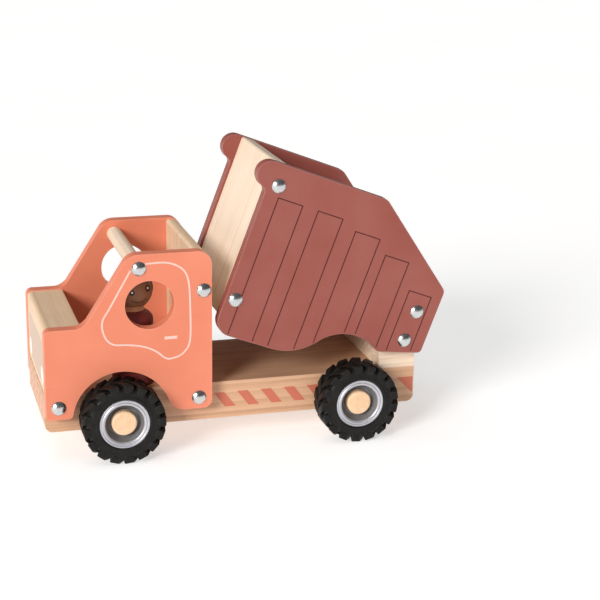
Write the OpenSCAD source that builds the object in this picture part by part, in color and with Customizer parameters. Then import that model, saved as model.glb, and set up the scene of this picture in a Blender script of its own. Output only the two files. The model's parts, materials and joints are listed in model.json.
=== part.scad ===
// Wooden toy dump truck with a tipping bed, four free-running wheels and a peg driver.
// Millimetres. +X is forward, +Y is left, +Z is up, and the tyres stand on z = 0.
// Side outlines are drawn as [distance behind the cab front, height].

/* [Chassis] */
// Length of the chassis board
board_len = 259.4; // [250:0.1:270]
// Width of the chassis board and of everything between the side plates
frame_w = 89.4; // [84:0.2:96]
// Height of the underside of the board above the floor
board_bottom = 18.4; // [16:0.2:20]
// Height of the top of the board
board_top = 44.5; // [42:0.1:46]
// Height of the pivot block's round top centre above the floor
pivot_z = 67; // [66:0.1:68]
// Distance of the tipping pivot behind the cab front
pivot_s = 248.4; // [247:0.1:249]

/* [Cab] */
// Length of the cab from front to back
cab_len = 111.6; // [110:0.1:112]
// Height of the cab roof line
cab_top = 139.4; // [136:0.2:142]
// Height of the bonnet
hood_top = 91.6; // [88:0.2:94]
// Length of the bonnet block
hood_len = 25.4; // [22:0.2:28]
// Thickness of the painted side plates
plate_t = 8.5; // [7:0.1:9]
// Thickness of the cab's back wall
cab_wall_t = 11.2; // [9:0.1:12]
// Radius of the round side window
window_r = 16.4; // [14:0.1:17]
// Radius of the cross rail over the windscreen
rail_r = 5.2; // [4:0.1:6]

/* [Wheels] */
// Outer radius of the tyre over its lugs
tyre_r = 27.9; // [27:0.1:28.4]
// Width of the tyre
tyre_w = 20.1; // [16:0.1:21]
// Lugs on each half of the tread
lugs = 17; // [14:1:24]
// Distance of the front axle behind the cab front
front_axle_s = 49.8; // [49:0.1:51]
// Distance of the rear axle behind the cab front
rear_axle_s = 212.7; // [212:0.1:214]
// Radius of the wooden axle dowel
axle_r = 5; // [4:0.1:6]
// Radius of the wheel's silver rim
rim_r = 16.9; // [16:0.1:18]
// Radius of the wooden cap on the axle end
cap_r = 8.35; // [7.5:0.05:9]

/* [Tipping bed] */
// Angle of the bed above its lowered place, as drawn
tip = 20.5; // [0:0.5:60]
// Thickness of the bed's side plates
bed_plate_t = 8; // [7:0.1:8.3]
// Thickness of the bed's front wall
bed_wall_t = 10.5; // [9:0.5:14]
// Thickness of the bed's floor board
floor_t = 10; // [8:0.5:11]

/* [Fasteners] */
// Radius of the domed bolt head
head_r = 5.1; // [4:0.1:5.5]
// Height of the domed bolt head
head_h = 2.4; // [2:0.1:3.2]
// Radius of the bolt shank
shank_r = 2; // [1.5:0.1:2.5]
// Radius of the shoulder that the bed turns on
shoulder_r = 3; // [2.6:0.1:3.4]

/* [Driver] */
// Radius of the peg driver's body
driver_r = 14.1; // [12:0.1:14.2]
// Height of the peg driver
driver_h = 81.5; // [78:0.5:81.5]
// Depth of the round seat recess in the chassis board
seat_depth = 2.5; // [1:0.1:4]

/* [Hidden] */

$fn = 72;
arc_step = 5;
coral = [0.93, 0.53, 0.42];
brick = [0.60, 0.29, 0.26];
beech = [0.91, 0.78, 0.60];
chrome = [0.80, 0.81, 0.83];
brass = [0.78, 0.65, 0.36];
silver = [0.62, 0.62, 0.66];
rubber = [0.10, 0.10, 0.11];

half_w = frame_w / 2;
plate_out = half_w + plate_t;
bed_gap = 0.5;
bed_inner = half_w + bed_gap;
bed_half_w = bed_inner + bed_plate_t;
hole_gap = 0.05;
turn_gap = 0.07;
nut_r = 3.4;
nut_len = 12;
nut_sunk = 0.3;
pocket_len = 14;
// How far a cut runs past the face that it opens.
over = 1;

// Bed outline, from the pivot: [distance behind it, height above it], bed lowered.
bed_front = -133.2;
bed_rear = 15;
bed_rim = 88.8;
bed_skirt = -32.4;
rear_drop = 41.4;
slope_top = [-49.6, bed_rim];
rear_bottom = [bed_rear, -5.4];
rear_bottom_angle = 14.4;
rear_corner_r = 5;
nose_r = 9.3;
nose_at = [-133.4, bed_rim - nose_r];
nose_fillet = 4;
arch_r = 33;
arch_at = [front_axle_s + 0.6, tyre_r - 0.7];
arch_flare = 12;
bed_arch_r = 32;
floor_low = 16.6;
bed_bolt_places = [[-125.4, 74], [-126, -7.3], [1.1, floor_low + floor_t / 2]];
bed_wall_front = -131.2;
bed_wall_rear = bed_wall_front + bed_wall_t;
floor_rear = 11;
bed_wall_low = -22.2;
bed_wall_high = bed_rim - 0.3;
block_r = 13.2;
block_s = board_len - block_r;
washer_r = 8;
washer_t = 0.4;

// The whole truck is centred on X in the pose drawn here.
slope_dir = unit([bed_rear, rear_drop] - slope_top);
slope_in = [slope_dir[1], -slope_dir[0]];
corner_z = rear_drop + (rear_corner_r + slope_in[0] * rear_corner_r) / slope_in[1];
rear_reach = (bed_rear - rear_corner_r) * cos(tip) + corner_z * sin(tip) + rear_corner_r;
front_x = (pivot_s + rear_reach) / 2;

tyre_in = half_w + 2.5;
tyre_out = tyre_in + tyre_w;
rim_in = tyre_in + 1.2;
rim_out = tyre_out - 1;
web_out = tyre_out - 8.6;
cap_in = web_out + 0.4;
cap_out = tyre_out - 2.6;
axle_half = cap_in + 3;
boss_in = half_w + 0.6;

rail_at = [63, 129.7];
cab_bolt_places = [[106.2, 112.4], [8.4, 38], [102.6, 37.6]];
window_at = [69.8, 104.8];

driver_s = 62.3;
driver_y = 28;
neck_h = 55.5;
neck_r = 8.3;
head_ball_r = 14;
seat_r = driver_r + 0.4;

function unit(v) = v / norm(v);
function angle_to(a, b) = atan2(b[1] - a[1], b[0] - a[0]);
function sweep(a0, a1) = (a1 - a0 + 900) % 360 - 180;

// Points of an arc about c from angle a0, the short way round to angle a1.
function arc(c, r, a0, a1) =
    let (turn = sweep(a0, a1), n = max(2, ceil(abs(turn) / arc_step)))
    [for (i = [0:n]) c + r * [cos(a0 + turn * i / n), sin(a0 + turn * i / n)]];

// Points that round corner b, between a and c, to radius r.
function corner(a, b, c, r) =
    r == 0 ? [b] :
    let (to_a = unit(a - b), to_c = unit(c - b), half = acos(to_a * to_c) / 2,
        m = b + unit(to_a + to_c) * r / sin(half), run = r / tan(half))
    arc(m, r, angle_to(m, b + to_a * run), angle_to(m, b + to_c * run));

// Open path of [x, y, corner radius]: its two ends are dropped, the rest rounded.
function rounded(path) =
    [for (i = [1:len(path) - 2])
        each corner(flat(path[i - 1]), flat(path[i]), flat(path[i + 1]), path[i][2])];
function flat(p) = [p[0], p[1]];

// Closed outline of [x, y, corner radius], every corner rounded.
function closed(path) =
    let (n = len(path))
    [for (i = [0:n - 1]) each corner(flat(path[(i + n - 1) % n]), flat(path[i]),
        flat(path[(i + 1) % n]), path[i][2])];

// Centre of a fillet between the line through p at angle a and the circle of radius r about m.
function fillet_at(m, r, p, a, f, side) =
    let (t = [cos(a), sin(a)], q = p + f * [-sin(a), cos(a)] - m, b = q * t)
    m + q + t * (side * sqrt(b * b - q * q + (r + f) * (r + f)) - b);

// Wheel arch cut up into a lower edge, front to rear, its corners rounded to front_f and rear_f.
function arch(m, r, front_p, front_f, rear_p, rear_a, rear_f) =
    let (front_m = fillet_at(m, r, front_p, 0, front_f, -1),
        rear_m = fillet_at(m, r, rear_p, rear_a, rear_f, 1))
    concat(arc(front_m, front_f, -90, angle_to(front_m, m)),
        arc(m, r, angle_to(m, front_m), angle_to(m, rear_m)),
        arc(rear_m, rear_f, angle_to(rear_m, m), rear_a - 90));

// 2-D outline [distance behind the front, height] stood up as a plate from y0 to y0 + t.
module upright(y0, t) {
    translate([0, y0, 0]) rotate([90, 0, 180]) linear_extrude(t) children();
}

// Cylinder across the truck from y0 to y1.
module across(at, r, y0, y1) {
    translate([-at[0], y0, at[1]]) rotate([-90, 0, 0]) cylinder(h = y1 - y0, r = r);
}

// Moves children to a point on a side face, with +Z pointing out of the truck.
module on_side(at, y, side) {
    translate([-at[0], side * y, at[1]]) rotate([-90 * side, 0, 0]) children();
}

module from_front() {
    translate([front_x, 0, 0]) children();
}

module from_pivot() {
    translate([front_x - pivot_s, 0, pivot_z]) rotate([0, -tip, 0]) children();
}

module dome_head() {
    ball_r = (head_r * head_r + head_h * head_h) / (2 * head_h);
    intersection() {
        translate([0, 0, head_h - ball_r]) sphere(ball_r);
        cylinder(h = head_h, r = head_r);
    }
}

module bolt(length) {
    dome_head();
    translate([0, 0, -length]) cylinder(h = length + 0.2, r = shank_r);
}

module insert_nut() {
    translate([0, 0, -nut_len - nut_sunk]) difference() {
        cylinder(h = nut_len, r = nut_r);
        translate([0, 0, -over]) cylinder(h = nut_len + 2 * over, r = shank_r + hole_gap);
    }
}

// Pocket for an insert nut, cut inwards from a side face.
module nut_pocket() {
    translate([0, 0, -pocket_len]) cylinder(h = pocket_len + over, r = nut_r);
}

// --- Chassis ---

// Screws that come up through the board: [distance behind the front, y, height of the tip].
screw_y = 24;
hood_screws = [for (side = [-1, 1]) [hood_len / 2, side * screw_y, hood_top - 22]];
pivot_screws = [for (side = [-1, 1]) [block_s, side * screw_y, pivot_z - 4]];
wall_screws = [for (side = [-1, 1])
    [cab_len - cab_wall_t / 2, side * screw_y, board_top + 32]];
block_screw_places = concat(hood_screws, pivot_screws, wall_screws);
screw_r = 2;
screw_head_r = 4;
screw_head_h = 2.4;
screw_sunk = 0.4;

module screw_holes(places) {
    for (p = places) translate([-p[0], p[1], board_bottom - over])
        cylinder(h = p[2] - board_bottom + over, r = screw_r);
}

module chassis_board() {
    edge_r = 5;
    outline = closed([[0, board_bottom, edge_r], [board_len, board_bottom, edge_r],
        [board_len, board_top, 0], [0, board_top, 0]]);
    color(beech) from_front() difference() {
        upright(-half_w, frame_w) polygon(outline);
        for (s = [front_axle_s, rear_axle_s])
            across([s, tyre_r], axle_r, -half_w - over, half_w + over);
        for (side = [-1, 1], i = [1, 2]) on_side(cab_bolt_places[i], half_w, side) nut_pocket();
        screw_holes(block_screw_places);
        for (p = block_screw_places) translate([-p[0], p[1], board_bottom - over])
            cylinder(h = over + screw_sunk + screw_head_h + 0.2, r = screw_head_r);
        translate([-driver_s, driver_y, board_top - seat_depth])
            cylinder(h = seat_depth + over, r = seat_r);
    }
}

module pivot_block() {
    color(beech) from_front() difference() {
        upright(-half_w, frame_w) {
            translate([block_s - block_r, board_top]) square([2 * block_r, pivot_z - board_top]);
            translate([block_s, pivot_z]) circle(block_r);
        }
        for (side = [-1, 1]) on_side([pivot_s, pivot_z], half_w, side) nut_pocket();
        screw_holes(pivot_screws);
    }
}

module hood_block() {
    inset = 0.6;
    high = hood_top - inset;
    outline = closed([[inset, board_top, 0], [hood_len, board_top, 0], [hood_len, high, 1],
        [inset, high, 3.5]]);
    color(beech) from_front() difference() {
        upright(-half_w, frame_w) polygon(outline);
        screw_holes(hood_screws);
    }
}

module block_screws() {
    color(chrome) from_front() for (p = block_screw_places)
        translate([-p[0], p[1], board_bottom + screw_sunk]) {
            cylinder(h = p[2] - board_bottom - screw_sunk, r = screw_r);
            cylinder(h = screw_head_h, r = screw_head_r);
        }
}

// --- Cab ---

cab_slant = 57.3;
slant_foot_s = 25.9;
plate_low = 29.9;
cab_corner_r = 9.5;
arch_start = 10;
arch_end = 96;

function cab_outline() =
    concat(
        rounded([[arch_end, plate_low, 0], [cab_len, plate_low, 6], [cab_len, cab_top, cab_corner_r],
            [slant_foot_s + (cab_top - hood_top) / tan(cab_slant), cab_top, 12],
            [slant_foot_s, hood_top, 12], [0, hood_top, 4.5], [0, plate_low, 3],
            [arch_start, plate_low, 0]]),
        arch(arch_at, arch_r, [arch_start, plate_low], 3.5, [arch_end, plate_low], 0, arch_flare));

module cab_side(side) {
    color(coral) from_front() difference() {
        upright(side > 0 ? half_w : -plate_out, plate_t) polygon(cab_outline());
        across(window_at, window_r, -plate_out - over, plate_out + over);
        for (p = concat(cab_bolt_places, [rail_at]))
            across(p, shank_r + hole_gap, -plate_out - over, plate_out + over);
    }
}

module cab_rear_wall() {
    high = cab_top - 1;
    edge_r = 2.5;
    rear_edge_r = cab_corner_r - 1;
    front = cab_len - cab_wall_t;
    outline = closed([[cab_len, board_top, 0], [cab_len, high, rear_edge_r], [front, high, edge_r],
        [front, board_top, 0]]);
    color(beech) from_front() difference() {
        upright(-half_w, frame_w) polygon(outline);
        for (side = [-1, 1]) on_side(cab_bolt_places[0], half_w, side) nut_pocket();
        screw_holes(wall_screws);
    }
}

module windscreen_rail() {
    color(beech) from_front() difference() {
        across(rail_at, rail_r, -half_w, half_w);
        for (side = [-1, 1]) on_side(rail_at, half_w, side) nut_pocket();
    }
}

module cab_bolts() {
    color(chrome) from_front() for (side = [-1, 1], p = concat(cab_bolt_places, [rail_at]))
        on_side(p, plate_out, side) bolt(plate_t + nut_len);
}

module cab_insert_nuts() {
    color(brass) from_front() for (side = [-1, 1], p = concat(cab_bolt_places, [rail_at]))
        on_side(p, half_w, side) insert_nut();
}

// --- Wheels ---

module axle(s) {
    color(beech) from_front() across([s, tyre_r], axle_r, -axle_half, axle_half);
}

module axle_cap(s, side) {
    color(beech) from_front() on_side([s, tyre_r], 0, side) difference() {
        rotate_extrude() polygon([[0, cap_in], [cap_r, cap_in], [cap_r, cap_out - 1],
            [cap_r - 0.3, cap_out - 0.3], [cap_r - 1, cap_out], [0, cap_out]]);
        cylinder(h = axle_half, r = axle_r);
    }
}

module hub(s, side) {
    color(silver) from_front() on_side([s, tyre_r], 0, side) rotate_extrude()
        polygon([[axle_r + turn_gap, boss_in], [8, boss_in], [8, rim_in + 3],
            [rim_r - 3.4, rim_in + 3], [rim_r - 2, rim_in], [rim_r, rim_in], [rim_r, rim_out - 0.8],
            [rim_r - 0.8, rim_out], [rim_r - 3, rim_out], [rim_r - 3.8, rim_out - 0.8],
            [cap_r + 2, web_out], [axle_r + turn_gap, web_out]]);
}

// Block tyre: a carcass with two staggered rows of slanted lugs.
module tyre(s, side) {
    tread_r = tyre_r - 2.8;
    lug_w = 5.6;
    lug_slant = 24;
    lug_root = 3;
    color(rubber) from_front() on_side([s, tyre_r], 0, side) difference() {
        intersection() {
            union() {
                rotate_extrude() polygon([[rim_r, tyre_in + 1], [rim_r + 2.4, tyre_in],
                    [tread_r - 2, tyre_in + 0.6], [tread_r, tyre_in + 2.4],
                    [tread_r, tyre_out - 2.4], [tread_r - 2, tyre_out - 0.6],
                    [rim_r + 2.4, tyre_out], [rim_r, tyre_out - 1]]);
                for (i = [0:lugs - 1], half = [0, 1])
                    rotate([0, 0, (i + half / 2) * 360 / lugs - 90])
                        translate([tread_r - lug_root, 0, tyre_in + tyre_w / 2])
                            rotate([half * 180 + lug_slant, 0, 0])
                                translate([0, -lug_w / 2, -0.6])
                                    cube([tyre_r - tread_r + lug_root + over, lug_w,
                                        tyre_w / 2 + over]);
            }
            rotate_extrude() polygon([[rim_r, tyre_in], [tyre_r - 3, tyre_in],
                [tyre_r, tyre_in + 2.6], [tyre_r, tyre_out - 2.6], [tyre_r - 3, tyre_out],
                [rim_r, tyre_out]]);
        }
        translate([0, 0, tyre_in - over]) cylinder(h = tyre_w + 2 * over, r = rim_r);
    }
}

// --- Tipping bed ---

function bed_outline() =
    let (wheel = [rear_axle_s - pivot_s, tyre_r - pivot_z],
        notch = [bed_front - nose_fillet, nose_at[1]
            - sqrt(pow(nose_r + nose_fillet, 2) - pow(nose_at[0] - bed_front + nose_fillet, 2))])
    concat(
        rounded([[-10, -12, 0], [rear_bottom[0], rear_bottom[1], 3.5],
            [bed_rear, rear_drop, rear_corner_r], [slope_top[0], bed_rim, 8], [-100, bed_rim, 0]]),
        arc(nose_at, nose_r, 90, angle_to(nose_at, notch)),
        arc(notch, nose_fillet, angle_to(notch, nose_at), 0),
        rounded([[bed_front, 0, 0], [bed_front, bed_skirt, 11], [-100, bed_skirt, 0]]),
        arch(wheel, bed_arch_r, [-90, bed_skirt], 38, rear_bottom, rear_bottom_angle, 6));

module bed_side(side) {
    color(brick) from_pivot() difference() {
        upright(side > 0 ? bed_inner : -bed_half_w, bed_plate_t) polygon(bed_outline());
        for (p = bed_bolt_places) across(p, shank_r + hole_gap, -bed_half_w - over, bed_half_w + over);
        across([0, 0], shoulder_r + turn_gap, -bed_half_w - over, bed_half_w + over);
    }
}

module bed_front_wall() {
    outline = closed([[bed_wall_front, bed_wall_low, 1.5], [bed_wall_rear, bed_wall_low, 1.5],
        [bed_wall_rear, bed_wall_high, 2], [bed_wall_front, bed_wall_high, 2]]);
    color(beech) from_pivot() difference() {
        upright(-bed_inner, 2 * bed_inner) polygon(outline);
        for (side = [-1, 1], i = [0, 1]) on_side(bed_bolt_places[i], bed_inner, side) nut_pocket();
    }
}

module bed_floor() {
    high = floor_low + floor_t;
    outline = closed([[floor_rear, floor_low, 2], [floor_rear, high, 2],
        [bed_wall_rear, high, 0], [bed_wall_rear, floor_low, 0]]);
    color(beech) from_pivot() difference() {
        upright(-bed_inner, 2 * bed_inner) polygon(outline);
        for (side = [-1, 1]) on_side(bed_bolt_places[2], bed_inner, side) nut_pocket();
    }
}

module bed_bolts() {
    color(chrome) from_pivot() for (side = [-1, 1], p = bed_bolt_places)
        on_side(p, bed_half_w, side) bolt(bed_plate_t + nut_len);
}

module bed_insert_nuts() {
    color(brass) from_pivot() for (side = [-1, 1], p = bed_bolt_places)
        on_side(p, bed_inner, side) insert_nut();
}

// Shoulder bolts fixed in the pivot block; the bed's side plates turn on their shoulders.
module pivot_bolts() {
    reach = bed_half_w - half_w + 0.1;
    color(chrome) from_front() for (side = [-1, 1])
        on_side([pivot_s, pivot_z], half_w + reach, side) {
            bolt(reach + nut_len);
            translate([0, 0, -reach]) cylinder(h = reach + 0.2, r = shoulder_r);
        }
}

module pivot_insert_nuts() {
    color(brass) from_front() for (side = [-1, 1])
        on_side([pivot_s, pivot_z], half_w, side) insert_nut();
}

module pivot_washers() {
    color(chrome) from_front() for (side = [-1, 1])
        on_side([pivot_s, pivot_z], half_w, side) difference() {
            cylinder(h = washer_t, r = washer_r);
            translate([0, 0, -over])
                cylinder(h = washer_t + 2 * over, r = shoulder_r + hole_gap);
        }
}

// --- Driver ---

module driver() {
    shoulder_z = 46;
    head_z = driver_h - head_ball_r;
    profile = concat([[0, 0]], arc([driver_r - 1.5, 1.5], 1.5, -90, 0),
        arc([driver_r - 7, shoulder_z], 7, 0, 55),
        [[neck_r, neck_h - 1.5], [neck_r, neck_h]],
        arc([0, head_z], head_ball_r, -asin((head_z - neck_h - 1) / head_ball_r), 90));
    color([0.36, 0.13, 0.13]) from_front()
        translate([-driver_s, driver_y, board_top - seat_depth]) rotate_extrude() polygon(profile);
}

chassis_board();
pivot_block();
hood_block();
cab_side(1);  // cab_side_left
cab_side(-1);  // cab_side_right
cab_rear_wall();
windscreen_rail();
cab_bolts();
cab_insert_nuts();
block_screws();
axle(front_axle_s);  // front_axle
axle(rear_axle_s);  // rear_axle
axle_cap(front_axle_s, 1);  // axle_cap_front_left
axle_cap(front_axle_s, -1);  // axle_cap_front_right
axle_cap(rear_axle_s, 1);  // axle_cap_rear_left
axle_cap(rear_axle_s, -1);  // axle_cap_rear_right
pivot_bolts();
pivot_insert_nuts();
pivot_washers();
hub(front_axle_s, 1);  // hub_front_left
hub(front_axle_s, -1);  // hub_front_right
hub(rear_axle_s, 1);  // hub_rear_left
hub(rear_axle_s, -1);  // hub_rear_right
tyre(front_axle_s, 1);  // tyre_front_left
tyre(front_axle_s, -1);  // tyre_front_right
tyre(rear_axle_s, 1);  // tyre_rear_left
tyre(rear_axle_s, -1);  // tyre_rear_right
bed_side(1);  // bed_side_left
bed_side(-1);  // bed_side_right
bed_front_wall();
bed_floor();
bed_bolts();
bed_insert_nuts();
driver();
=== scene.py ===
import json
import math

import bmesh
import bpy
from mathutils import Matrix, Vector
from mathutils.bvhtree import BVHTree


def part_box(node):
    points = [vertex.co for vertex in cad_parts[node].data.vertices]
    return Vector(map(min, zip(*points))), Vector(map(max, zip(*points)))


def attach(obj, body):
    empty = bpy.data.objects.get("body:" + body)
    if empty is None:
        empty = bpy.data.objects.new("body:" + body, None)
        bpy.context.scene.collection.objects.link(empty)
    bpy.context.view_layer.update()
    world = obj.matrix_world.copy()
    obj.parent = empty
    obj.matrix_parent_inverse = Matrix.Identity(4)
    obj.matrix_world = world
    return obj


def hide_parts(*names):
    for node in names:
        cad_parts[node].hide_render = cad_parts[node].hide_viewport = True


# A wooden toy dump truck: the looks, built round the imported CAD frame. Metres throughout.
# +X is forward, +Y is the truck's left, +Z is up.

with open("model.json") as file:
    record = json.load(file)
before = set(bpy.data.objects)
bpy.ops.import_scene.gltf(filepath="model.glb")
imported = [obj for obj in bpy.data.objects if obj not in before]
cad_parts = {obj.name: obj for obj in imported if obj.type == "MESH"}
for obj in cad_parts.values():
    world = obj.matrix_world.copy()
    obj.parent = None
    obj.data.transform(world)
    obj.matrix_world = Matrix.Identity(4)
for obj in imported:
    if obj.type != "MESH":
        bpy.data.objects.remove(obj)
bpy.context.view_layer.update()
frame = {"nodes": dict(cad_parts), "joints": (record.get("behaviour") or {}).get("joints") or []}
NODES = frame["nodes"]
JOINTS = {j["name"]: j for j in frame["joints"]}
MM = 0.001
X, Y, Z = Vector((1, 0, 0)), Vector((0, 1, 0)), Vector((0, 0, 1))
BLACK, WHITE = (0, 0, 0), (1, 1, 1)
WHEELS = ("front_left", "front_right", "rear_left", "rear_right")

FRONT_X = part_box("chassis_board")[1][0]
BOARD_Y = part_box("chassis_board")[1][1]
BOARD_END = FRONT_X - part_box("chassis_board")[0][0]
CAB_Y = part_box("cab_side_left")[1][1]
BED_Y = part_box("bed_side_left")[1][1]
PIVOT = Vector(JOINTS["bed_tip"]["pos_m"])
TIP = math.radians(-JOINTS["bed_tip"]["range_deg"][0])

# Drawing planes for the sides. The cab's starts at the front of the truck, the bed's at the
# pivot, and the bed's is tipped as the bed is.
CAB_PLANE = Matrix.Translation((FRONT_X, 0, 0))
BED_PLANE = Matrix.Translation(PIVOT) @ Matrix.Rotation(-TIP, 4, "Y")
BED_UP = BED_PLANE.to_3x3() @ Z
BED_ALONG = BED_PLANE.to_3x3() @ X

# How far prints and painted features stand out of their surface and reach into it.
PRINT_PROUD, PRINT_SUNK = 0.06 * MM, 0.05 * MM
LAMP_PROUD = 0.10 * MM
FACE_PROUD, GLINT_PROUD, FACE_SUNK = 0.10 * MM, 0.16 * MM, 0.2 * MM

# The camera, as fitted to the photo: its angles in degrees, and its place ahead of the truck's
# front, left of its middle and above the floor.
CAMERA_YAW, CAMERA_PITCH, CAMERA_ROLL = 16.40, 16.53, 0.87
CAMERA_PLACE = (FRONT_X + 0.1021, 0.9857, 0.3898)
LENS_MM, SENSOR_MM = 90.2, 36

# Metres between the rings of a wave texture of scale 1.
WAVE_PITCH = 0.314


# --- Camera, light and floor ---

def make_camera():
    yaw, pitch, roll = (math.radians(a) for a in (CAMERA_YAW, CAMERA_PITCH, CAMERA_ROLL))
    right = Vector((-math.cos(yaw), math.sin(yaw), 0))
    level = Vector((-math.sin(yaw), -math.cos(yaw), 0))
    ahead = level * math.cos(pitch) - Z * math.sin(pitch)
    up = level * math.sin(pitch) + Z * math.cos(pitch)
    side = right * math.cos(roll) + up * math.sin(roll)
    top = up * math.cos(roll) - right * math.sin(roll)
    turn = Matrix((side, top, -ahead)).transposed().to_4x4()
    data = bpy.data.cameras.new("camera")
    data.lens, data.sensor_width = LENS_MM, SENSOR_MM
    camera = bpy.data.objects.new("camera", data)
    camera.matrix_world = Matrix.Translation(CAMERA_PLACE) @ turn
    bpy.context.scene.collection.objects.link(camera)
    bpy.context.scene.camera = camera


def soft_sun(name, toward, strength, spread_deg, colour=WHITE, mirrored=True):
    """Broad, even light from the direction toward."""
    data = bpy.data.lights.new(name, "SUN")
    data.energy, data.color, data.angle = strength, colour, math.radians(spread_deg)
    lamp = bpy.data.objects.new(name, data)
    lamp.rotation_euler = (-Vector(toward)).to_track_quat("-Z", "Y").to_euler()
    lamp.visible_glossy = mirrored
    bpy.context.scene.collection.objects.link(lamp)


def make_studio():
    """Three soft suns, and a sky that is white up to the horizon and dark above it for chrome."""
    scene = bpy.context.scene
    scene.view_settings.view_transform = "Standard"
    world = bpy.data.worlds.new("studio")
    world.use_nodes = True
    tree = world.node_tree
    height = node(tree, "ShaderNodeSeparateXYZ", {0: node(
        tree, "ShaderNodeTexCoord").outputs["Generated"]}).outputs["Z"]
    sky = ramp(tree, height, (0.0, WHITE), (0.05, (0.86, 0.87, 0.88)),
        (0.17, (0.11, 0.11, 0.115)), (0.6, (0.17, 0.17, 0.175)), (1.0, (0.26, 0.26, 0.27)))
    tree.links.new(sky, tree.nodes["Background"].inputs["Color"])
    tree.nodes["Background"].inputs["Strength"].default_value = 0.60
    scene.world = world
    soft_sun("key", (0.98, 0.90, 0.56), 2.85, 22, (1, 0.985, 0.965))
    soft_sun("fill", (-0.35, 1.2, 0.10), 0.22, 20, (0.99, 0.99, 1), mirrored=False)
    soft_sun("top", (0.3, 0.05, 1.0), 0.88, 50, mirrored=False)


def make_floor():
    bm = bmesh.new()
    bmesh.ops.create_circle(bm, cap_ends=True, segments=96, radius=9)
    mesh = bpy.data.meshes.new("floor")
    bm.to_mesh(mesh)
    floor = bpy.data.objects.new("floor", mesh)
    bpy.context.scene.collection.objects.link(floor)
    mat, tree, shader = new_material("pale_floor", 0.85)
    tone = noise(tree, object_space(tree), 3, 2)
    colour = ramp(tree, tone, (0.3, (0.66, 0.66, 0.66)), (0.7, (0.69, 0.69, 0.69)))
    tree.links.new(colour, shader.inputs["Base Color"])
    shader.inputs["Emission Color"].default_value = (1, 0.995, 0.985, 1)
    shader.inputs["Emission Strength"].default_value = 0.52
    mesh.materials.append(mat)


# --- Material building blocks ---

def node(tree, kind, inputs=None, **settings):
    """Adds a node. An input is a socket to link from or a plain value."""
    made = tree.nodes.new(kind)
    for key, value in settings.items():
        setattr(made, key, value)
    for key, value in (inputs or {}).items():
        if isinstance(value, bpy.types.NodeSocket):
            tree.links.new(value, made.inputs[key])
        else:
            made.inputs[key].default_value = value
    return made


def new_material(name, roughness, metallic=0.0, specular=0.5):
    mat = bpy.data.materials.new(name)
    mat.use_nodes = True
    shader = mat.node_tree.nodes["Principled BSDF"]
    shader.inputs["Roughness"].default_value = roughness
    shader.inputs["Metallic"].default_value = metallic
    shader.inputs["Specular IOR Level"].default_value = specular
    return mat, mat.node_tree, shader


def object_space(tree):
    return node(tree, "ShaderNodeTexCoord").outputs["Object"]


def mixed(a, b, share):
    """The colour that lies a share of the way from a to b."""
    return tuple(p + (q - p) * share for p, q in zip(a, b))


def ramp(tree, value, *stops):
    """A colour ramp over value, with (place, colour) stops."""
    made = node(tree, "ShaderNodeValToRGB", {"Fac": value})
    elements = made.color_ramp.elements
    while len(elements) < len(stops):
        elements.new(0.5)
    for element, (place, colour) in zip(elements, stops):
        element.position = place
        element.color = (*colour, 1)
    return made.outputs["Color"]


def noise(tree, vector, scale, detail, roughness=0.5):
    return node(tree, "ShaderNodeTexNoise", {"Vector": vector, "Scale": scale, "Detail": detail,
        "Roughness": roughness}).outputs["Fac"]


def maths(tree, operation, a, b):
    return node(tree, "ShaderNodeMath", {0: a, 1: b}, operation=operation).outputs[0]


def spread(tree, value, low, high):
    """Noise, which keeps mostly to 0.25 .. 0.75, stretched to low .. high."""
    return node(tree, "ShaderNodeMapRange", {"Value": value, "From Min": 0.25, "From Max": 0.75,
        "To Min": low, "To Max": high}).outputs["Result"]


def blend(tree, how, amount, a, b):
    """Mixes two colours. The node has sockets of each name for every type of data."""
    made = node(tree, "ShaderNodeMix", data_type="RGBA", blend_type=how)
    for key, value in (("Factor", amount), ("A", a), ("B", b)):
        kind = "VALUE" if key == "Factor" else "RGBA"
        socket = next(s for s in made.inputs if s.name == key and s.type == kind)
        if isinstance(value, bpy.types.NodeSocket):
            tree.links.new(value, socket)
        else:
            socket.default_value = value
    return next(s for s in made.outputs if s.type == "RGBA")


def tinted(tree, colour, value, low, high, tint):
    """colour times tint where value is low or less, fading to colour alone at high."""
    return blend(tree, "MULTIPLY", 1.0, colour, ramp(tree, value, (low, tint), (high, WHITE)))


def surface(tree, shader, colour, roughness, height, strength, distance):
    """Links up a shader's colour, its roughness and a bump from height."""
    tree.links.new(colour, shader.inputs["Base Color"])
    tree.links.new(roughness, shader.inputs["Roughness"])
    bump = node(tree, "ShaderNodeBump", {"Height": height, "Strength": strength,
        "Distance": distance})
    tree.links.new(bump.outputs["Normal"], shader.inputs["Normal"])


def edges(tree, radius):
    """0 on a flat face, rising to 1 on an outer or inner edge."""
    soft = node(tree, "ShaderNodeBevel", {"Radius": radius}, samples=4).outputs["Normal"]
    true = node(tree, "ShaderNodeNewGeometry").outputs["Normal"]
    match = node(tree, "ShaderNodeVectorMath", {0: soft, 1: true}, operation="DOT_PRODUCT")
    on_flat, on_edge = 0.999, 0.93
    return node(tree, "ShaderNodeMapRange", {"Value": match.outputs["Value"],
        "From Min": on_flat, "From Max": on_edge, "To Min": 0.0, "To Max": 1.0}).outputs["Result"]


def edge_dust_and_highlight(tree, colour, radius, share, edge_tint):
    """colour, with a share of edge_tint mixed in on the edges: a painted highlight on paint and
    wood, and dust on rubber.
    """
    amount = maths(tree, "MULTIPLY", edges(tree, radius), share)
    return blend(tree, "MIX", amount, colour, (*edge_tint, 1))


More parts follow.
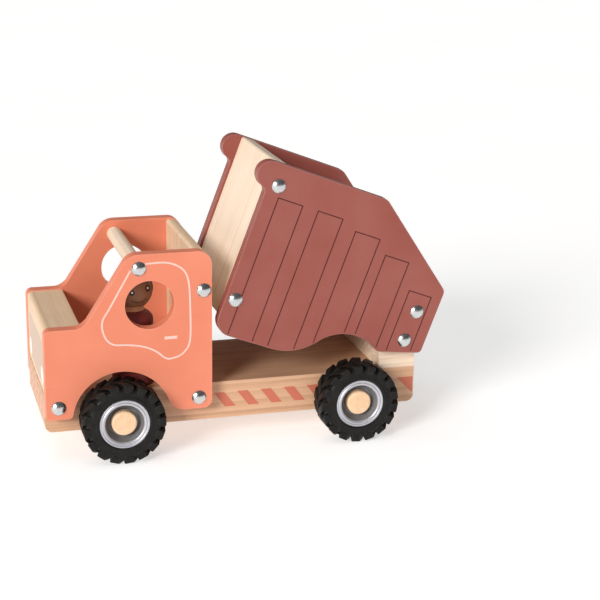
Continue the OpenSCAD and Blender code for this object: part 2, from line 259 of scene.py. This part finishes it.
def stretched(tree, along, across, squeeze, start=(0, 0, 0)):
    """Object space turned so that its X runs along the grain, and squeezed along it."""
    third = along.cross(across)
    moved = node(tree, "ShaderNodeVectorMath", {0: object_space(tree), 1: start},
        operation="SUBTRACT").outputs["Vector"]
    parts = [node(tree, "ShaderNodeVectorMath", {0: moved, 1: axis},
        operation="DOT_PRODUCT").outputs["Value"] for axis in (along * squeeze, across, third)]
    return node(tree, "ShaderNodeCombineXYZ", dict(enumerate(parts))).outputs["Vector"]


# --- Materials ---

def wood(name, pale, dark, along, across, heart, pitch, contrast=1.0):
    """Solid wood. heart is a point on the line that the rings, pitch apart, go round."""
    mat, tree, shader = new_material(name, 0.48, specular=0.4)
    rings = node(tree, "ShaderNodeTexWave", {"Vector": stretched(tree, along, across, 0.06, heart),
        "Scale": WAVE_PITCH / pitch, "Distortion": 8.0, "Detail": 1.0, "Detail Scale": 0.3,
        "Detail Roughness": 0.55}, wave_type="RINGS", rings_direction="X",
        wave_profile="SAW").outputs["Fac"]
    fibre_space = stretched(tree, along, across, 0.03)
    fibres = noise(tree, fibre_space, 1500, 4, 0.65)
    streaks = noise(tree, fibre_space, 230, 3, 0.6)
    flecks = noise(tree, stretched(tree, along, across, 0.16), 2100, 1)
    tone = noise(tree, object_space(tree), 22, 2)
    grain = maths(tree, "ADD", maths(tree, "MULTIPLY", rings, 0.22 * contrast),
        maths(tree, "MULTIPLY", streaks, 0.42 + 0.2 * contrast))
    colour = ramp(tree, grain, (0.22, pale), (0.52, mixed(pale, dark, 0.35)), (0.86, dark))
    colour = tinted(tree, colour, fibres, 0.3, 0.62, (0.91, 0.89, 0.86))
    colour = tinted(tree, colour, flecks, 0.24, 0.31, (0.78, 0.68, 0.58))
    colour = tinted(tree, colour, tone, 0.3, 0.7, (0.94, 0.93, 0.91))
    # The whiter edges are a painted highlight on the rounded edges.
    colour = edge_dust_and_highlight(tree, colour, 0.9 * MM, 0.25, mixed(pale, WHITE, 0.25))
    height = maths(tree, "ADD", fibres, maths(tree, "MULTIPLY", rings, 0.4))
    surface(tree, shader, colour, spread(tree, fibres, 0.42, 0.56), height, 0.16, 0.10 * MM)
    return mat


def paint(name, colour, along=X, across=Z):
    """Satin paint over sanded plywood: faint grain under it, and a thin pale line on the edges
    that is a painted highlight.
    """
    mat, tree, shader = new_material(name, 0.42, specular=0.3)
    tone = noise(tree, object_space(tree), 28, 3)
    grain = noise(tree, stretched(tree, along, across, 0.05), 700, 3, 0.6)
    peel = noise(tree, object_space(tree), 900, 2)
    specks = noise(tree, object_space(tree), 2600, 1)
    base = ramp(tree, tone, (0.3, mixed(colour, BLACK, 0.06)), (0.7, mixed(colour, WHITE, 0.02)))
    base = tinted(tree, base, grain, 0.32, 0.6, (0.985, 0.983, 0.98))
    # The pale line on the edges is a painted highlight on the rounded edges.
    base = edge_dust_and_highlight(tree, base, 1.1 * MM, 0.30, mixed(colour, (1, 0.92, 0.86), 0.28))
    base = tinted(tree, base, specks, 0.16, 0.20, (0.8, 0.78, 0.76))
    height = maths(tree, "ADD", maths(tree, "MULTIPLY", grain, 0.35), peel)
    surface(tree, shader, base, spread(tree, peel, 0.37, 0.47), height, 0.08, 0.06 * MM)
    return mat


def ink(name, colour):
    """Thin printed ink, a little uneven."""
    mat, tree, shader = new_material(name, 0.45, specular=0.35)
    patchy = noise(tree, object_space(tree), 1100, 3, 0.6)
    base = ramp(tree, patchy, (0.3, mixed(colour, BLACK, 0.10)), (0.65, colour))
    surface(tree, shader, base, spread(tree, patchy, 0.4, 0.55), patchy, 0.1, 0.05 * MM)
    return mat


def rubber(name):
    """Black rubber, a little dusty on its edges."""
    mat, tree, shader = new_material(name, 0.55, specular=0.24)
    cloud = noise(tree, object_space(tree), 140, 4, 0.6)
    grit = noise(tree, object_space(tree), 2400, 2)
    base = ramp(tree, cloud, (0.3, (0.0030, 0.0027, 0.0023)), (0.7, (0.0125, 0.0108, 0.0090)))
    base = edge_dust_and_highlight(tree, base, 0.5 * MM, 0.4, (0.045, 0.043, 0.039))
    height = maths(tree, "ADD", grit, cloud)
    surface(tree, shader, base, spread(tree, cloud, 0.38, 0.62), height, 0.22, 0.12 * MM)
    return mat


def metal(name, colour, rough_low, rough_high, scratch, metallic=1.0):
    """Metal or metallic paint. scratch is the strength of its fine scratches."""
    mat, tree, shader = new_material(name, rough_low, metallic=metallic)
    smear = noise(tree, object_space(tree), 320, 3, 0.6)
    hair = noise(tree, stretched(tree, X, Z, 0.04), 2600, 2)
    base = ramp(tree, smear, (0.3, mixed(colour, BLACK, 0.08)), (0.7, colour))
    roughness = spread(tree, smear, rough_low, rough_high)
    surface(tree, shader, base, roughness, hair, scratch, 0.04 * MM)
    return mat


CREAM, PALE, TAN = (0.95, 0.79, 0.625), (0.88, 0.665, 0.465), (0.60, 0.365, 0.205)
PINE, PINE_DARK = (0.75, 0.46, 0.29), (0.52, 0.275, 0.155)
CAP_PALE, CAP_DARK = (0.93, 0.665, 0.435), (0.74, 0.44, 0.235)
CORAL, BRICK = (0.79, 0.240, 0.136), (0.305, 0.076, 0.056)


# --- Shapes ---

def piece(name, bm, body, slot, mat, *replaced, sharp=35):
    """Makes a mesh piece that rides on a body and stands for the CAD nodes named in replaced."""
    bmesh.ops.recalc_face_normals(bm, faces=bm.faces)
    for face in bm.faces:
        face.smooth = True
    for edge in bm.edges:
        edge.smooth = edge.calc_face_angle(0) < math.radians(sharp)
    mesh = bpy.data.meshes.new(name)
    bm.to_mesh(mesh)
    bm.free()
    made = bpy.data.objects.new(name, mesh)
    bpy.context.scene.collection.objects.link(made)
    mesh.materials.append(mat)
    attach(made, body)
    if replaced:
        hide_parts(*replaced)
    return made


def revolve(bm, profile, place, segments=96, closed=False):
    """Turns [radius, height] points about Z and moves the result by place."""
    rings = []
    for radius, height in profile:
        if radius == 0:
            rings.append([bm.verts.new(place @ Vector((0, 0, height)))] * segments)
            continue
        angles = (2 * math.pi * i / segments for i in range(segments))
        rings.append([bm.verts.new(place @ Vector((radius * math.cos(a), radius * math.sin(a),
            height))) for a in angles])
    following = rings[1:] + rings[:1] if closed else rings[1:]
    for low, high in zip(rings, following):
        for i in range(segments):
            j = (i + 1) % segments
            corners = list(dict.fromkeys((low[i], low[j], high[j], high[i])))
            if len(corners) > 2:
                bm.faces.new(corners)


def turning(points, centre, radius, start, end, steps):
    """Adds an arc to a profile, angles in degrees from the outward direction."""
    for i in range(steps + 1):
        a = math.radians(start + (end - start) * i / steps)
        points.append((max(0.0, centre[0] + radius * math.cos(a)),
            centre[1] + radius * math.sin(a)))


def on_side(plane, out, side):
    """Maps [behind the plane's start, up, proud] to a point on a side face."""
    return lambda back, up, proud: plane @ Vector((-back, side * (out + proud), up))


def on_front(x):
    """Maps [left of the middle, up, proud] to a point on a front face."""
    return lambda left, up, proud: Vector((x + proud, left, up))


def ribbon(bm, points, width, to_face):
    """A printed line of even width along points, as a thin closed strip."""
    rows = []
    for i, p in enumerate(points):
        before = (p - points[i - 1]).normalized() if i else None
        after = (points[i + 1] - p).normalized() if i + 1 < len(points) else None
        before, after = before or after, after or before
        mean = (before + after).normalized()
        side = Vector((-mean.y, mean.x)) * (width / 2 / max(0.3, mean.dot(after)))
        rows.append([bm.verts.new(to_face(*(p + side * s), h)) for s, h in
            ((1, PRINT_PROUD), (-1, PRINT_PROUD), (-1, -PRINT_SUNK), (1, -PRINT_SUNK))])
    tube(bm, rows)


def tube(bm, rows):
    """Joins four-cornered sections in a row and closes both ends."""
    for low, high in zip(rows, rows[1:]):
        for i in range(4):
            bm.faces.new((low[i], low[(i + 1) % 4], high[(i + 1) % 4], high[i]))
    bm.faces.new(rows[0])
    bm.faces.new(rows[-1])


def slab(bm, outline, to_face, proud=PRINT_PROUD, sunk=PRINT_SUNK):
    """A printed shape with a convex outline, as a thin closed solid."""
    top = [bm.verts.new(to_face(*p, proud)) for p in outline]
    bottom = [bm.verts.new(to_face(*p, -sunk)) for p in outline]
    bm.faces.new(top)
    bm.faces.new(bottom)
    for i in range(len(top)):
        j = (i + 1) % len(top)
        bm.faces.new((top[i], top[j], bottom[j], bottom[i]))


def flowing(points, per=6):
    """A smooth curve through points, with per steps between each two."""
    out = []
    for i in range(len(points) - 1):
        a, b = points[max(0, i - 1)], points[i]
        c, d = points[i + 1], points[min(len(points) - 1, i + 2)]
        for k in range(per):
            t = k / per
            out.append(0.5 * (2 * b + (c - a) * t + (2 * a - 5 * b + 4 * c - d) * t * t
                + (3 * b - a - 3 * c + d) * t ** 3))
    return out + [points[-1]]


def flat(*pairs):
    """Points from pairs of millimetres."""
    return [Vector(p) * MM for p in pairs]


# --- Plates and boards carried over from the CAD ---

def soften(name, width, segments=3):
    """Rounds a flat-sided CAD node's edges."""
    obj = NODES[name]
    weld = obj.modifiers.new("weld", "WELD")
    weld.merge_threshold = 0.01 * MM
    planar = obj.modifiers.new("planar", "DECIMATE")
    planar.decimate_type = "DISSOLVE"
    planar.angle_limit = math.radians(1)
    bevel = obj.modifiers.new("bevel", "BEVEL")
    bevel.width, bevel.segments = width, segments
    bevel.limit_method, bevel.angle_limit = "ANGLE", math.radians(30)
    bevel.miter_outer = "MITER_ARC"
    normals = obj.modifiers.new("normals", "WEIGHTED_NORMAL")
    normals.keep_sharp = False
    normals.weight = 100


def dress(name, mat):
    """Gives a CAD node its material and smooth shading."""
    for slot in NODES[name].material_slots:
        slot.material = mat
    for face in NODES[name].data.polygons:
        face.use_smooth = True


def centre_of(name):
    low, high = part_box(name)
    return (Vector(low) + Vector(high)) / 2


def make_boards():
    # Name, colours, direction of the grain and one across it, heart from the centre, ring
    # pitch, contrast, and the radius of the edges in mm.
    boards = (
        ("chassis_board", PINE, PINE_DARK, X, Y, (0, 0.03, -0.09), 0.0062, 1.5, 0.7),
        ("pivot_block", CREAM, TAN, X, Y, (0, 0.05, -0.06), 0.0050, 1.0, 0.7),
        ("hood_block", PALE, TAN, Y, X, (0.03, 0, -0.05), 0.0045, 0.8, 0.8),
        ("cab_rear_wall", PALE, TAN, Z, Y, (0.06, 0.02, 0), 0.0050, 0.9, 0.7),
        ("windscreen_rail", CREAM, TAN, Y, X, (0.015, 0, 0.01), 0.0030, 0.8, 0.5),
        ("bed_front_wall", CREAM, TAN, BED_UP, Y, (0.07, 0.015, 0), 0.0030, 0.45, 0.9),
        ("bed_floor", PALE, TAN, BED_ALONG, Y, (0, 0.03, -0.06), 0.0055, 0.9, 0.7),
    )
    for name, pale, dark, along, across, heart, pitch, contrast, edge in boards:
        dress(name, wood("wood_" + name, pale, dark, along, across,
            centre_of(name) + Vector(heart), pitch, contrast))
        soften(name, edge * MM)
    for name in ("front_axle", "rear_axle"):
        dress(name, wood("wood_" + name, PALE, TAN, Y, X, centre_of(name), 0.0012))


def make_painted_plates():
    coral, brick = paint("coral_paint", CORAL), paint("brick_paint", BRICK, BED_UP, BED_ALONG)
    for side in ("left", "right"):
        dress("cab_side_" + side, coral)
        soften("cab_side_" + side, 1.5 * MM, 4)
        dress("bed_side_" + side, brick)
        soften("bed_side_" + side, 1.4 * MM, 4)


# --- Printed decoration ---

def print_doors():
    mat = ink("ink_white", (0.86, 0.585, 0.51))
    door = flowing(flat((67.2, 132.9), (80.2, 133.1), (88.8, 130.2), (93.8, 125.4), (96.0, 118.1),
        (96.7, 106.4), (97.0, 85.6), (96.1, 76.6), (93.4, 71.6), (89.2, 68.3), (82.8, 66.8),
        (79.2, 67.9), (74.8, 71.7), (69.4, 74.9), (62.8, 77.1), (54.8, 78.4), (46.3, 79.1),
        (41.7, 81.9), (39.2, 86.5), (38.0, 92.1), (39.0, 97.4), (43.5, 104.7), (50.3, 116.7),
        (57.4, 129.0)))
    handle = flat((79.4, 81.4), (87.9, 81.5))
    for side, word in ((1, "left"), (-1, "right")):
        face = on_side(CAB_PLANE, CAB_Y, side)
        bm = bmesh.new()
        ribbon(bm, door, 1.15 * MM, face)
        ribbon(bm, handle, 2.0 * MM, face)
        piece("door_print_" + word, bm, "chassis", "coral_paint", mat)


def print_ribs():
    mat = ink("ink_dark_red", (0.082, 0.011, 0.010))
    # Front line and rear line behind the pivot and the top line above it, in mm.
    ribs = ((-123, -105, 66.6), (-93.5, -75, 66.7), (-63.2, -44.5, 61.5), (-36.5, -18.3, 52.4),
        (-10.3, 7.1, 34.2))
    inset, line = 1.3 * MM, 0.75 * MM
    for side, word in ((1, "left"), (-1, "right")):
        plate = bmesh.new()
        plate.from_mesh(NODES["bed_side_" + word].data)
        tree = BVHTree.FromBMesh(plate)
        face = on_side(BED_PLANE, BED_Y, side)
        bm = bmesh.new()
        for front, rear, top in ribs:
            feet = [lower_edge(tree, u * MM, side) + inset for u in (front, rear)]
            ribbon(bm, [Vector((front * MM, feet[0])), Vector((front * MM, top * MM)),
                Vector((rear * MM, top * MM)), Vector((rear * MM, feet[1]))], line, face)
        plate.free()
        piece("rib_print_" + word, bm, "bed", "brick_paint", mat)


def lower_edge(tree, u, side):
    """Height, in the bed's plane, of the side plate's lower edge at u behind the pivot."""
    within, below = BED_Y - 4 * MM, -80 * MM
    start = BED_PLANE @ Vector((-u, side * within, below))
    hit = tree.ray_cast(start, BED_UP)[0]
    return (BED_PLANE.inverted() @ hit).z


def print_stripes():
    mat = ink("ink_coral", (0.58, 0.160, 0.094))
    low, high, lean, width, pitch = (v * MM for v in (26.2, 36.8, 8, 7.5, 16.5))
    first, end = 114.5 * MM, BOARD_END - 0.8 * MM
    bm = bmesh.new()
    for side in (1, -1):
        face = on_side(CAB_PLANE, BOARD_Y, side)
        s = first
        while s < BOARD_END - pitch:
            slab(bm, clipped([(s, high), (s + width, high), (s + width + lean, low),
                (s + lean, low)], end), face)
            s += pitch
        # The last stripe is cut to a triangle by the board's end.
        slab(bm, [(s, high), (end, high), (end, low - 1.5 * MM)], face)
    piece("hazard_stripes", bm, "chassis", "natural_wood", mat)
    face = on_front(FRONT_X)
    low, high, lean, width, pitch = (v * MM for v in (24.5, 38.5, 6, 7.5, 15))
    bm = bmesh.new()
    for i in range(-3, 3):
        y = i * pitch + 1.5 * MM
        slab(bm, [(y, low), (y + width, low), (y + width + lean, high), (y + lean, high)], face)
    piece("front_stripes", bm, "chassis", "natural_wood", ink("ink_faded", (0.78, 0.42, 0.28)))


def clipped(outline, limit):
    """The part of a convex outline with a first coordinate up to limit."""
    out = []
    for p, q in zip(outline, outline[1:] + outline[:1]):
        if p[0] <= limit:
            out.append(p)
        if (p[0] <= limit) != (q[0] <= limit):
            t = (limit - p[0]) / (q[0] - p[0])
            out.append((limit, p[1] + (q[1] - p[1]) * t))
    return out


def print_grille():
    face = on_front(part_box("hood_block")[1][0])
    bm = bmesh.new()
    slab(bm, round_box(0, 64.2 * MM, 76 * MM, 31.6 * MM, 6 * MM), face)
    piece("grille_print", bm, "chassis", "coral_paint", ink("ink_milky", (0.645, 0.475, 0.355)))
    bm = bmesh.new()
    lamp = 12.6 * MM
    for side in (1, -1):
        slab(bm, round_box(side * 32.5 * MM, 55 * MM, lamp, lamp, 6.29 * MM), face, LAMP_PROUD)
    piece("headlights", bm, "chassis", "coral_paint", ink("ink_lamp", (0.92, 0.84, 0.78)))


def round_box(y, z, wide, high, radius, steps=8):
    """Outline of a box with rounded corners, about (y, z)."""
    out = []
    for k, (cy, cz) in enumerate(((1, 1), (-1, 1), (-1, -1), (1, -1))):
        for i in range(steps + 1):
            a = math.radians(90 * (k + i / steps))
            out.append((y + cy * (wide / 2 - radius) + radius * math.cos(a),
                z + cz * (high / 2 - radius) + radius * math.sin(a)))
    return out


# --- Wheels ---

def make_wheels():
    tyre_mat = rubber("tyre_rubber")
    rim_mat = metal("rim_silver", (0.56, 0.56, 0.60), 0.34, 0.46, scratch=0.10, metallic=0.6)
    # The dish metal is the rim's silver darkened: painted shade for the deep recess.
    shaded_dish_mat = metal("rim_dish_painted_shade", (0.225, 0.225, 0.23), 0.36, 0.48, scratch=0.10, metallic=0.25)
    # Degrees that each wheel is turned at rest, the left ones as in the photo.
    for wheel, phase in zip(WHEELS, (4, 9, -6.5, 4)):
        low, high = (Vector(v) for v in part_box("tyre_" + wheel))
        side = 1 if wheel.endswith("left") else -1
        centre = Vector(JOINTS[wheel + "_wheel_spin"]["pos_m"])
        centre.y = (low.y + high.y) / 2
        place = Matrix.Translation(centre) @ Matrix.Rotation(-side * math.pi / 2, 4, "X")
        make_tyre(wheel, place, tyre_mat, math.radians(phase))
        make_hub(wheel, place, rim_mat, shaded_dish_mat)
        cap = "axle_cap_" + wheel
        dress(cap, wood("wood_" + cap, CAP_PALE, CAP_DARK, Y, X,
            centre_of(cap) + Vector((0.0025, 0, 0.003)), 0.0019, 1.3))


def make_tyre(wheel, place, mat, phase):
    """Block tyre: a carcass and two staggered rows of slanting lugs."""
    lugs, slant, shoulder, flare = 17, math.radians(17), 10.1, 1.08
    outer = [(16.9, 9.0), (17.3, 9.6), (18.0, 9.85), (18.9, 9.75), (19.4, 9.5), (20.8, 9.55),
        (22.8, 9.4), (23.8, 8.9), (24.4, 8.0), (24.7, 6.6), (24.9, 3.4), (24.9, 0.0)]
    profile = [(r * MM, a * MM) for r, a in outer]
    profile += [(r, -a) for r, a in reversed(profile[:-1])]
    bm = bmesh.new()
    revolve(bm, profile, place, closed=True)
    # A lug's sections from the sidewall to the middle, in mm: [radius, offset] of its foot and
    # of its top, and half its width.
    stations = (
        ((22.2, 9.2), (22.3, 9.62), 1.8), ((23.4, 8.8), (24.0, 9.95), 2.7),
        ((23.9, 8.2), (26.0, 10.03), 3.0), ((24.0, 7.4), (27.3, 9.85), 3.05),
        ((24.1, 6.4), (27.88, 9.0), 3.0), ((24.2, 4.6), (27.9, 7.0), 2.8),
        ((24.3, 2.0), (27.9, 3.8), 2.5), ((24.4, -0.9), (27.75, -0.2), 2.1))
    for row in (1, -1):
        for i in range(lugs):
            turn = 2 * math.pi * (i + 0.25 * row) / lugs + phase
            rows = []
            for base, top, wide in stations:
                lead = turn + slant * (1 - max(0.0, top[1]) / shoulder)
                ring = []
                for (r, a), w in ((base, -wide * flare), (top, -wide), (top, wide),
                        (base, wide * flare)):
                    angle = lead + w / r
                    ring.append(bm.verts.new(place @ Vector((r * MM * math.cos(angle),
                        r * MM * math.sin(angle), row * a * MM))))
                rows.append(ring)
            tube(bm, rows)
    tyre = piece("tyre_shape_" + wheel, bm, "wheel_" + wheel, "tyre_rubber", mat, "tyre_" + wheel)
    bevel = tyre.modifiers.new("bevel", "BEVEL")
    bevel.width, bevel.segments = 0.20 * MM, 2
    bevel.limit_method, bevel.angle_limit = "ANGLE", math.radians(38)


def make_hub(wheel, place, mat, shaded_dish_mat):
    """Turned-looking rim: a double ring, a conical dish in painted shade and a boss round the
    axle.
    """
    bore, dish = 5.07, 13.0
    profile = [(bore, -11.95), (7.7, -11.95), (8.0, -11.6), (8.0, -5.85), (13.5, -5.85),
        (14.9, -8.85), (16.6, -8.85), (16.9, -8.5)]
    turning(profile, (16.35, 8.5), 0.55, 0, 90, 5)
    profile += [(15.75, 9.03), (15.45, 8.78), (15.15, 8.66), (14.9, 8.80)]
    turning(profile, (14.45, 8.55), 0.5, 60, 120, 4)
    profile += [(13.6, 8.85), (13.2, 8.55), (12.95, 8.0), (12.8, 7.2), (10.75, 2.1), (10.45, 1.65),
        (10.1, 1.45), (bore, 1.45)]
    bm = bmesh.new()
    revolve(bm, [(r * MM, a * MM) for r, a in profile], place, segments=128, closed=True)
    inward = place.inverted()
    # Faces of the dish inside its rim take the darker second material: painted shade in the
    # recess.
    for face in bm.faces:
        middle = inward @ face.calc_center_median()
        if math.hypot(middle.x, middle.y) < dish * MM and middle.z > 0:
            face.material_index = 1
    rim = piece("rim_" + wheel, bm, "wheel_" + wheel, "rim_silver", mat, "hub_" + wheel, sharp=50)
    rim.data.materials.append(shaded_dish_mat)


# --- Fasteners ---

def make_fasteners():
    chrome = metal("bolt_chrome", (0.68, 0.70, 0.695), 0.17, 0.33, scratch=0.12)
    steel = metal("plain_steel", (0.62, 0.62, 0.63), 0.28, 0.42, scratch=0.15)
    brass = metal("insert_brass", (0.66, 0.49, 0.21), 0.26, 0.38, scratch=0.12)
    for name in ("cab_bolts", "bed_bolts", "pivot_bolts"):
        dress(name, chrome)
        soften(name, 0.22 * MM)
    for name in ("block_screws", "pivot_washers"):
        dress(name, steel)
    for name in ("cab_insert_nuts", "bed_insert_nuts", "pivot_insert_nuts"):
        dress(name, brass)


# --- Driver ---

def make_driver():
    low, high = (Vector(v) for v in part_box("driver"))
    foot = Vector(((low.x + high.x) / 2, (low.y + high.y) / 2, low.z))
    place = Matrix.Translation(foot)
    height, radius = high.z - low.z, (high.x - low.x) / 2
    hem, shoulder, wall_top, neck, body_top = (v * MM for v in (1.5, 7, 46, 8.2, 53.6))
    ball, chin = 14.0 * MM, 10.2 * MM
    head = Vector((foot.x, foot.y, foot.z + height - ball))
    body = [(0, 0)]
    turning(body, (radius - hem, hem), hem, -90, 0, 5)
    turning(body, (radius - shoulder, wall_top), shoulder, 0, 62, 10)
    body += [(8.9 * MM, 53.0 * MM), (neck, body_top), (0, body_top)]
    bm = bmesh.new()
    revolve(bm, body, place, segments=72)
    piece("driver_body", bm, "driver_figure", "driver_paint", paint("driver_maroon",
        (0.20, 0.030, 0.026)), "driver")
    # The arc's last point is the crown, and it is put exactly on the axis.
    collar = [(0, 53.2 * MM), (neck, 53.2 * MM), (8.3 * MM, 55.4 * MM)]
    turning(collar, (0, height - ball), ball, -52, 90, 28)
    bm = bmesh.new()
    revolve(bm, collar[:-1] + [(0, height)], place, segments=72)
    for face in bm.faces:
        if face.calc_center_median().z < head.z - chin:
            face.material_index = 1
    skin = piece("driver_head", bm, "driver_figure", "driver_paint", paint("driver_skin",
        (0.25, 0.112, 0.050)))
    skin.data.materials.append(paint("driver_neck", (0.62, 0.32, 0.165)))
    make_face(on_ball(head, ball))
    make_hair(on_ball(head, ball))


def on_ball(centre, radius):
    """Maps [degrees left of the face, degrees up, proud] to a point on the head."""
    facing = math.atan2(0.969, -0.245)

    def point(left, up, proud):
        a, e = facing + math.radians(left), math.radians(up)
        out = Vector((math.cos(a) * math.cos(e), math.sin(a) * math.cos(e), math.sin(e)))
        return centre + out * (radius + proud)

    return point


def spot(left, up, size, sides=20):
    """Outline of a round spot on the head, in degrees."""
    stretch = math.cos(math.radians(up))
    turns = (2 * math.pi * i / sides for i in range(sides))
    return [(left + size * math.cos(t) / stretch, up + size * math.sin(t)) for t in turns]


def make_face(to_head):
    """Round painted eyes, each with a painted highlight, and a smile."""
    dark, white = bmesh.new(), bmesh.new()
    for left, up, size in ((-23.6, 3.8, 7.6), (26.0, 10.7, 9.0)):
        slab(dark, spot(left, up, size), to_head, FACE_PROUD, FACE_SUNK)
        # The small white spot in each eye is a painted highlight.
        slab(white, spot(left + 0.8, up + 0.8, 3.0), to_head, GLINT_PROUD, FACE_SUNK)
    middle, corners, dip, reach, half_line = -1.5, -18.5, 8.5, 24, 1.3
    smile = [(middle + a, corners - dip * math.cos(math.radians(a * 90 / reach)))
        for a in range(-reach, reach + 1, 2)]
    section = ((half_line, FACE_PROUD), (-half_line, FACE_PROUD), (-half_line, -FACE_SUNK),
        (half_line, -FACE_SUNK))
    tube(dark, [[dark.verts.new(to_head(left, up + s, proud)) for s, proud in section]
        for left, up in smile])
    black = ink("ink_black", (0.012, 0.010, 0.009))
    piece("driver_eyes_and_smile", dark, "driver_figure", "driver_paint", black)
    piece("driver_eye_glints", white, "driver_figure", "driver_paint", ink("ink_eye_glint",
        (0.80, 0.78, 0.74)))


def hairline(left):
    """Degrees up of the hair's edge: a wavy fringe over the face and a low nape behind."""
    fringe, nape = 30 + 5 * math.cos(math.radians(left * 5)), -12
    share = min(1.0, max(0.0, (abs(left) - 52) / 26))
    return fringe + (nape - fringe) * share * share * (3 - 2 * share)


def make_hair(to_head):
    """A cap of painted hair, as a thin closed shell."""
    columns, levels, top = 72, 12, 89
    bm = bmesh.new()
    rims = []
    for proud in (0.35 * MM, -0.4 * MM):
        rows = []
        for j in range(levels):
            row = []
            for i in range(columns):
                left = 360 * i / columns - 180
                edge = hairline(left)
                up = edge + (top - edge) * j / (levels - 1)
                row.append(bm.verts.new(to_head(left, up, proud)))
            rows.append(row)
        crown = bm.verts.new(to_head(0, 90, proud))
        rims.append(rows[0])
        for low, high in zip(rows, rows[1:]):
            for i in range(columns):
                bm.faces.new((low[i - 1], low[i], high[i], high[i - 1]))
        for i in range(columns):
            bm.faces.new((rows[-1][i - 1], rows[-1][i], crown))
    outer, inner = rims
    for i in range(columns):
        bm.faces.new((outer[i - 1], outer[i], inner[i], inner[i - 1]))
    piece("driver_hair", bm, "driver_figure", "driver_paint", paint("driver_black_hair",
        (0.020, 0.014, 0.012)))


make_camera()
make_studio()
make_floor()
print_ribs()
print_doors()
print_stripes()
print_grille()
make_boards()
make_painted_plates()
make_wheels()
make_fasteners()
make_driver()
